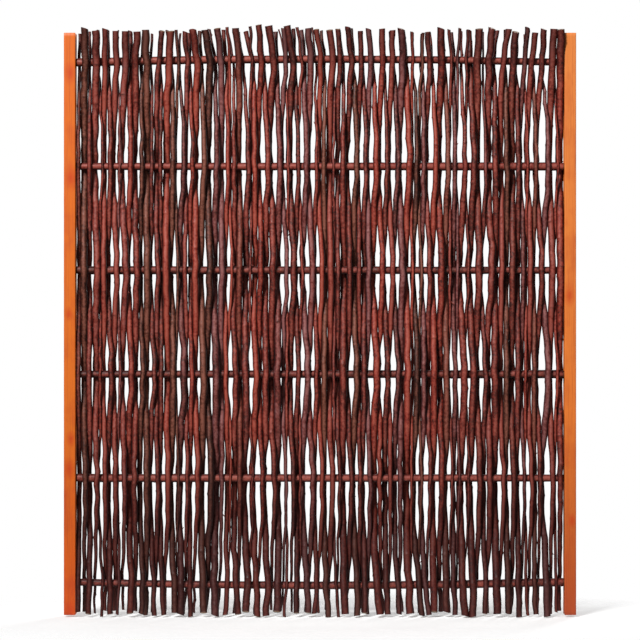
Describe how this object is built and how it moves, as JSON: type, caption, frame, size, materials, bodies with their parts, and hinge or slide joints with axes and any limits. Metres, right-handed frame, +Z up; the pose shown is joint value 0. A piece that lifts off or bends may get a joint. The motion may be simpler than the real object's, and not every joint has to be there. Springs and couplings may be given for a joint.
{
  "type": "woven willow hurdle",
  "caption": "Upright fence panel of willow rods woven through horizontal round rails, whose ends are nailed between a front and a back lath at each side.",
  "frame": {"origin": "under the middle of the panel, level with the lowest rod ends", "axes": "+Z up, +X to the right seen from the front, the front faces -Y"},
  "size_m": [1.584, 0.0879, 1.8326],
  "materials": {
    "stained_lath": "orange-brown wood stain on a planed softwood lath, with grain and small knots",
    "rail_bark": "dark red-brown willow bark, satin",
    "willow_red": "red-brown willow bark, satin, with darker rings and buds",
    "willow_brown": "dark brown willow bark, satin",
    "willow_plum": "purple-grey willow bark, satin, with grey bloom",
    "nail_steel": "plain zinc-grey wire nail"
  },
  "bodies": {
    "root": {"lath_left_front": "stained_lath", "lath_left_back": "stained_lath", "lath_right_front": "stained_lath", "lath_right_back": "stained_lath", "rail_1": "rail_bark", "rail_2": "rail_bark", "rail_3": "rail_bark", "rail_4": "rail_bark", "rail_5": "rail_bark", "rail_6": "rail_bark", "nails_left": "nail_steel", "nails_right": "nail_steel", "rods_01": "willow_brown", "rods_02": "willow_plum", "rods_03": "willow_red", "rods_04": "willow_brown", "rods_05": "willow_plum", "rods_06": "willow_red", "rods_07": "willow_brown", "rods_08": "willow_plum", "rods_09": "willow_red", "rods_10": "willow_brown", "rods_11": "willow_plum", "rods_12": "willow_red", "rods_13": "willow_brown", "rods_14": "willow_plum", "rods_15": "willow_red", "rods_16": "willow_brown", "rods_17": "willow_plum", "rods_18": "willow_red", "rods_19": "willow_brown", "rods_20": "willow_plum", "rods_21": "willow_red", "rods_22": "willow_brown", "rods_23": "willow_plum", "rods_24": "willow_red", "rods_25": "willow_brown", "rods_26": "willow_plum", "rods_27": "willow_red", "rods_28": "willow_brown", "rods_29": "willow_plum", "rods_30": "willow_red", "rods_31": "willow_brown", "rods_32": "willow_plum", "rods_33": "willow_red", "rods_34": "willow_brown", "rods_35": "willow_plum", "rods_36": "willow_red", "rods_37": "willow_brown", "rods_38": "willow_plum", "rods_39": "willow_red", "rods_40": "willow_brown", "rods_41": "willow_plum", "rods_42": "willow_red", "rods_43": "willow_brown", "rods_44": "willow_plum", "rods_45": "willow_red", "rods_46": "willow_brown", "rods_47": "willow_plum", "rods_48": "willow_red"}
  },
  "joints": []
}
